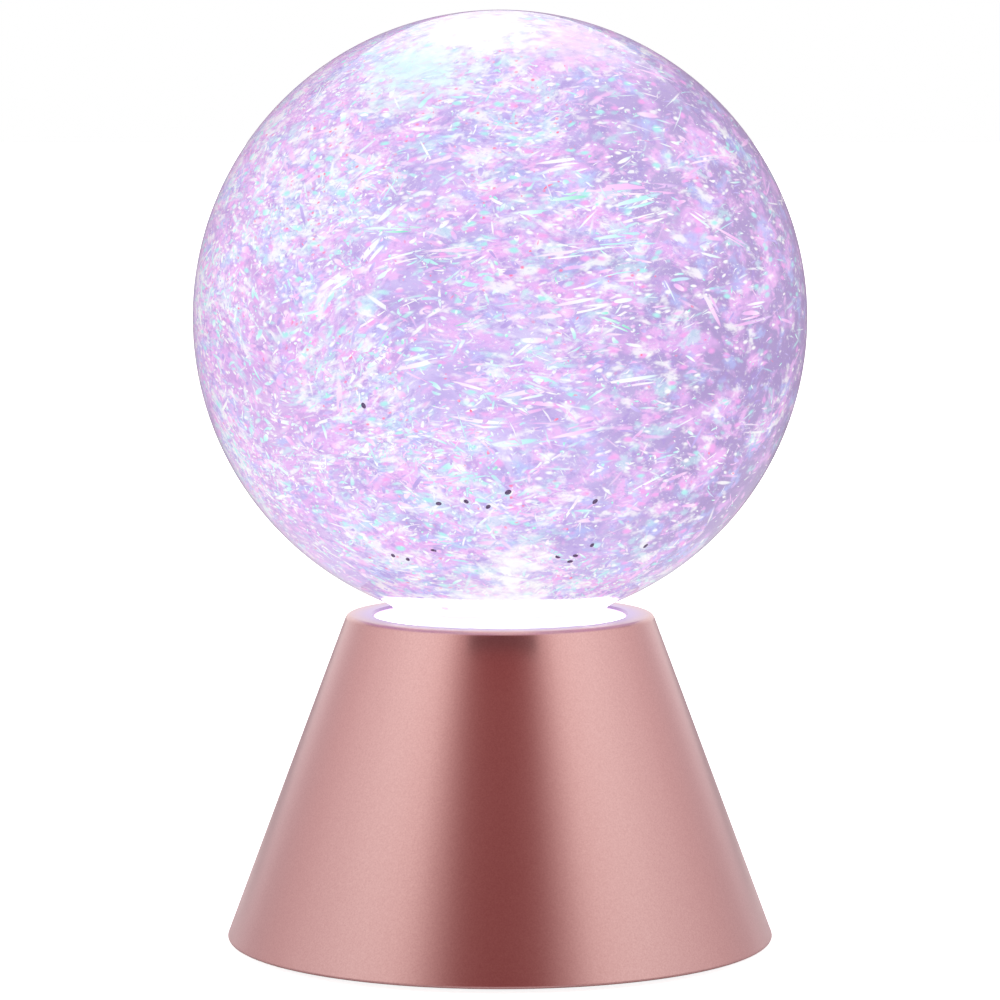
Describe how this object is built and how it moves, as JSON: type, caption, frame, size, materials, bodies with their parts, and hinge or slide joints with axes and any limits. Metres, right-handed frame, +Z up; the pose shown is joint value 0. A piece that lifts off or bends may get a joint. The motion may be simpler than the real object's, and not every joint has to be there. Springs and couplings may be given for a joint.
{
  "type": "glitter ball lamp",
  "caption": "Table lamp: a clear globe of liquid and glitter, lit and stirred from below, standing by its neck in a satin rose-gold cone base with a battery bay and a back switch.",
  "frame": {"origin": "on the table under the globe's axis, at the level of the feet", "axes": "+Z up along the globe's axis, -Y towards the front, switch and power inlet on +Y"},
  "size_m": [0.12, 0.12, 0.1832],
  "materials": {
    "rose_gold_paint": "satin metallic paint on moulded plastic",
    "clear_globe": "clear polished",
    "glitter_liquid": "clear liquid with glitter, lit from below",
    "glitter_film": "iridescent film cut into flakes, lit from below",
    "milky_cap": "translucent moulded",
    "black_rubber": "moulded matt",
    "steel": "plated",
    "white_plastic": "moulded",
    "magnet_nickel": "nickel plated",
    "grey_plastic": "moulded",
    "black_plastic": "spark-eroded texture",
    "contact_metal": "nickel-plated spring strip",
    "white_board": "white solder mask",
    "light_emitters": "moulded lens",
    "green_board": "green solder mask",
    "cell_jacket": "plain shrink sleeve on steel",
    "red_insulation": "extruded insulation",
    "black_insulation": "extruded insulation"
  },
  "bodies": {
    "lamp": {"base_shell": "rose_gold_paint", "globe": "clear_globe", "glitter_fluid": "glitter_liquid", "glitter_flakes": "glitter_film", "neck_cap": "milky_cap", "neck_gasket": "black_rubber", "fill_plug": "black_rubber", "rubber_feet": "black_rubber", "impeller_pin": "steel", "stack_screws": "steel", "motor_screws": "steel", "led_board_screws": "steel", "control_board_screws": "steel", "base_plate_screws": "steel", "motor_can": "steel", "switch_body": "steel", "inlet_shell": "steel", "impeller_guard": "white_plastic", "drive_deck": "grey_plastic", "base_plate": "black_plastic", "inlet_tongue": "black_plastic", "board_components": "black_plastic", "motor_terminals": "contact_metal", "contact_springs": "contact_metal", "contact_plates": "contact_metal", "led_board": "white_board", "leds": "light_emitters", "control_board": "green_board", "battery_cells": "cell_jacket", "leads_red": "red_insulation", "leads_black": "black_insulation"},
    "drive_rotor": {"motor_shaft": "steel", "magnet_rotor": "grey_plastic", "drive_magnets": "magnet_nickel"},
    "stirrer": {"impeller": "white_plastic", "impeller_magnets": "magnet_nickel"},
    "switch_knob": {"switch_slider": "black_plastic"},
    "battery_cover": {"battery_door": "black_plastic", "door_latch": "black_plastic"}
  },
  "joints": [
    {"name": "drive_spin", "type": "hinge", "parent": "lamp", "child": "drive_rotor", "pos_m": [0, 0, 0.045], "axis": [0, 0, 1], "continuous": true},
    {"name": "impeller_spin", "type": "hinge", "parent": "lamp", "child": "stirrer", "pos_m": [0, 0, 0.055], "axis": [0, 0, 1], "continuous": true},
    {"name": "switch_slide", "type": "slide", "parent": "lamp", "child": "switch_knob", "axis": [-1, 0, 0], "range_m": [0, 0.004]},
    {"name": "battery_door_hinge", "type": "hinge", "parent": "lamp", "child": "battery_cover", "pos_m": [-0.0277, 0, 0.0026], "axis": [0, 1, 0], "range_deg": [0, 85], "deforming": ["door_latch"]}
  ],
  "couplings": [
    {"joint": "impeller_spin", "follows": "drive_spin", "ratio": 1}
  ]
}
